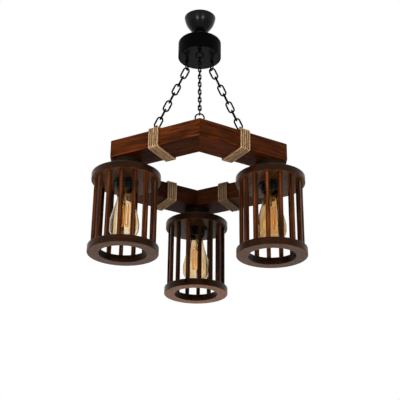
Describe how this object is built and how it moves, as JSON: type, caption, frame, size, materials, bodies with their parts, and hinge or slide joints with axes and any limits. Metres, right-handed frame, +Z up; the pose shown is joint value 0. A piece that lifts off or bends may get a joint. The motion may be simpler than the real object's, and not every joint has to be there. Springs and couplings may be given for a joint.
{
  "type": "chandelier",
  "caption": "Hexagonal timber ceiling light on chains, with slatted wooden cages round pear-shaped bulbs under alternate corners and jute wound on its beams.",
  "frame": {"origin": "centre of the hanging eye inside the ceiling cup", "axes": "+Z up; -Y towards the corner of the frame that carries the front chain; +X to the right seen from the front"},
  "size_m": [0.4594, 0.4736, 0.652],
  "materials": {
    "timber": "stained and oiled, warm reddish brown with a long grain",
    "cage_wood": "stained dark brown, satin",
    "spacer_wood": "stained near black, matt",
    "jute": "natural twisted jute twine, matt",
    "black_metal": "black powder coat, satin",
    "black_chain": "black lacquered steel wire",
    "black_plastic": "black moulding, semi-matt",
    "steel": "zinc plated",
    "brass": "threaded brass",
    "terminal_plastic": "white nylon",
    "amber_glass": "amber tinted clear glass",
    "clear_glass": "clear glass",
    "filament": "warm glowing wire"
  },
  "bodies": {
    "hanger": {"hanging_loop": "steel"},
    "pendant": {"hinge_pin": "steel", "stem": "steel", "stem_nut": "steel", "terminal_block": "terminal_plastic", "canopy_cover": "black_metal", "canopy_base": "black_metal", "canopy_eye_bolts": "black_chain", "eye_bolt_nuts": "steel", "chain_front": "black_chain", "chain_left": "black_chain", "chain_right": "black_chain", "frame_eye_screws": "black_chain", "mitre_tenons": "timber", "jute_windings": "jute", "lamp_holders": "black_plastic", "shade_rings": "black_plastic", "lamp_tubes": "steel", "tube_washers": "steel", "tube_nuts": "steel", "beam_front_right": "timber", "beam_right": "timber", "beam_rear_right": "timber", "beam_rear_left": "timber", "beam_left": "timber", "beam_front_left": "timber", "spacer_left": "spacer_wood", "cage_disc_left": "cage_wood", "cage_slats_left": "cage_wood", "cage_ring_left": "cage_wood", "spacer_right": "spacer_wood", "cage_disc_right": "cage_wood", "cage_slats_right": "cage_wood", "cage_ring_right": "cage_wood", "spacer_rear": "spacer_wood", "cage_disc_rear": "cage_wood", "cage_slats_rear": "cage_wood", "cage_ring_rear": "cage_wood"},
    "cup": {"ceiling_cup": "black_plastic", "cup_grub_screw": "steel"},
    "bulb_left": {"bulb_glass_left": "amber_glass", "bulb_cap_left": "brass", "bulb_stalk_left": "clear_glass", "bulb_filament_left": "filament"},
    "bulb_right": {"bulb_glass_right": "amber_glass", "bulb_cap_right": "brass", "bulb_stalk_right": "clear_glass", "bulb_filament_right": "filament"},
    "bulb_rear": {"bulb_glass_rear": "amber_glass", "bulb_cap_rear": "brass", "bulb_stalk_rear": "clear_glass", "bulb_filament_rear": "filament"}
  },
  "joints": [
    {"name": "pendant_swing", "type": "hinge", "parent": "hanger", "child": "pendant", "pos_m": [0, 0, -0.014], "axis": [0, 1, 0], "range_deg": [-12, 12]},
    {"name": "cup_slide", "type": "slide", "parent": "pendant", "child": "cup", "axis": [0, 0, 1], "range_m": [0, 0.009]},
    {"name": "bulb_left_draw", "type": "slide", "parent": "pendant", "child": "bulb_left", "axis": [0, 0, -1], "range_m": [0, 0.19]},
    {"name": "bulb_right_draw", "type": "slide", "parent": "pendant", "child": "bulb_right", "axis": [0, 0, -1], "range_m": [0, 0.19]},
    {"name": "bulb_rear_draw", "type": "slide", "parent": "pendant", "child": "bulb_rear", "axis": [0, 0, -1], "range_m": [0, 0.19]}
  ]
}
